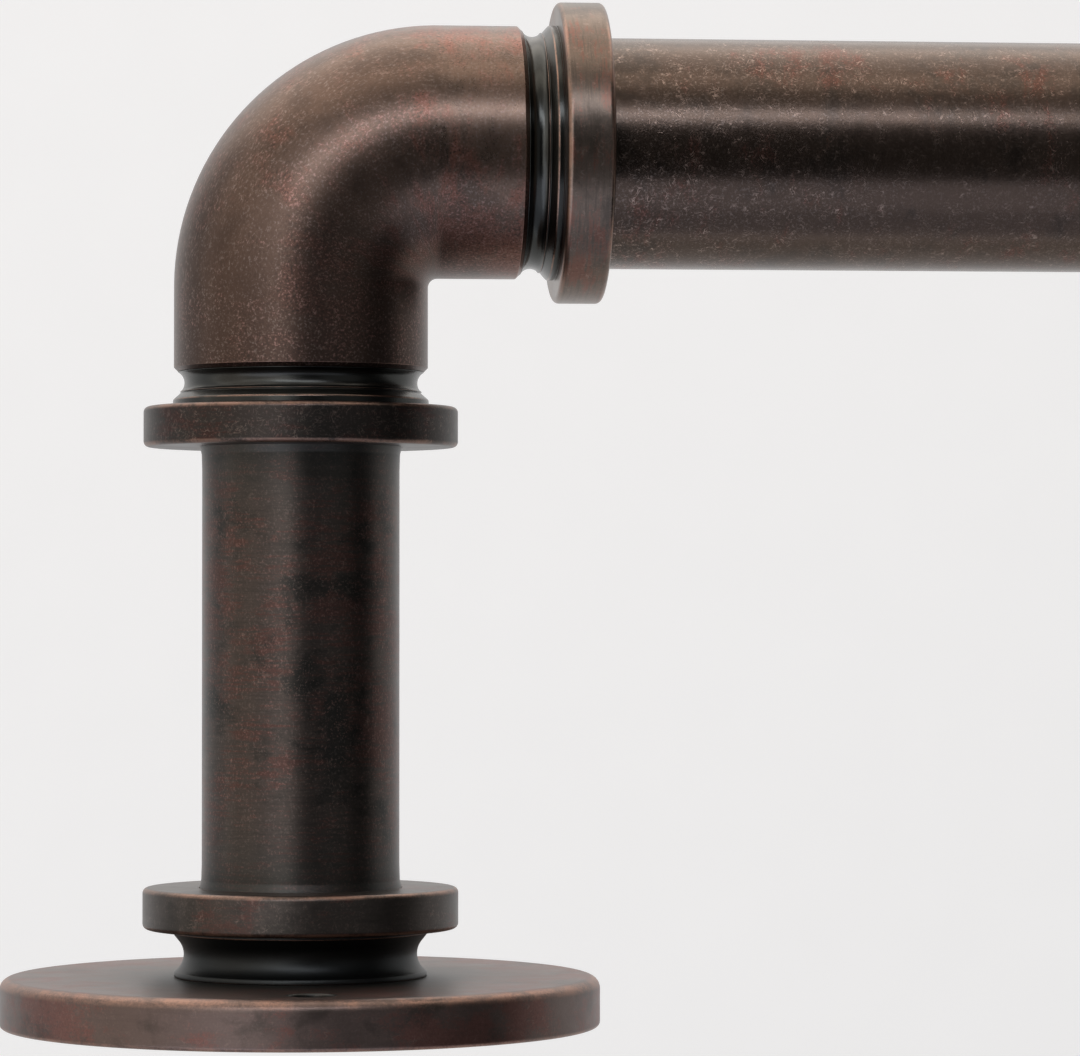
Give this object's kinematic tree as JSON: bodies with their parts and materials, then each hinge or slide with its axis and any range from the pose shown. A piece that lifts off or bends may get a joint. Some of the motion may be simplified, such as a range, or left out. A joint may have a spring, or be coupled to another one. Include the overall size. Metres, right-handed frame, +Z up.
{
  "type": "curtain rod with brackets",
  "caption": "Telescoping curtain rod whose ends turn back to the wall through pipe-style elbows, post tubes and round screw-on flanges, in antique bronze.",
  "frame": {"origin": "centre of the left wall flange's back face, which is also the centre of its wall screw pattern", "axes": "+X along the rod from the left bracket to the right one, +Y into the wall, +Z up; the wall is the plane y = 0"},
  "size_m": [0.7764, 0.1123, 0.0654],
  "materials": {
    "bronze": "satin antique bronze, dark brown with copper rubbed edges",
    "steel": "zinc plated",
    "nylon": "matt black"
  },
  "bodies": {
    "left_bracket": {"left_wall_flange": "bronze", "left_base_screw": "steel", "left_base_coupling": "bronze", "left_post_tube": "bronze", "left_post_base_plug": "steel", "left_post_top_plug": "steel", "left_post_coupling": "bronze", "left_post_stud": "steel"},
    "left_elbow_joint": {"left_elbow": "bronze", "left_elbow_post_insert": "steel", "left_elbow_rod_insert": "steel"},
    "inner_rod": {"inner_tube": "bronze", "guide_plug": "nylon", "left_rod_coupling": "bronze", "left_rod_stud": "steel", "left_rod_plug": "steel"},
    "outer_rod": {"outer_tube": "bronze", "glide_bush": "nylon", "right_rod_coupling": "bronze", "right_rod_stud": "steel", "right_rod_plug": "steel"},
    "right_elbow_joint": {"right_elbow": "bronze", "right_elbow_post_insert": "steel", "right_elbow_rod_insert": "steel"},
    "right_bracket": {"right_wall_flange": "bronze", "right_base_screw": "steel", "right_base_coupling": "bronze", "right_post_tube": "bronze", "right_post_base_plug": "steel", "right_post_top_plug": "steel", "right_post_coupling": "bronze", "right_post_stud": "steel"}
  },
  "joints": [
    {"name": "left_elbow_swivel", "type": "hinge", "parent": "left_bracket", "child": "left_elbow_joint", "pos_m": [0, -0.0957, 0], "axis": [0, 1, 0], "continuous": true},
    {"name": "left_rod_twist", "type": "hinge", "parent": "left_elbow_joint", "child": "inner_rod", "pos_m": [0.024, -0.0957, 0], "axis": [1, 0, 0], "continuous": true},
    {"name": "rod_slide", "type": "slide", "parent": "inner_rod", "child": "outer_rod", "axis": [1, 0, 0], "range_m": [0, 0.508]},
    {"name": "right_rod_twist", "type": "hinge", "parent": "outer_rod", "child": "right_elbow_joint", "pos_m": [0.687, -0.0957, 0], "axis": [1, 0, 0], "continuous": true},
    {"name": "right_elbow_swivel", "type": "hinge", "parent": "right_elbow_joint", "child": "right_bracket", "pos_m": [0.711, -0.0957, 0], "axis": [0, 1, 0], "continuous": true}
  ]
}
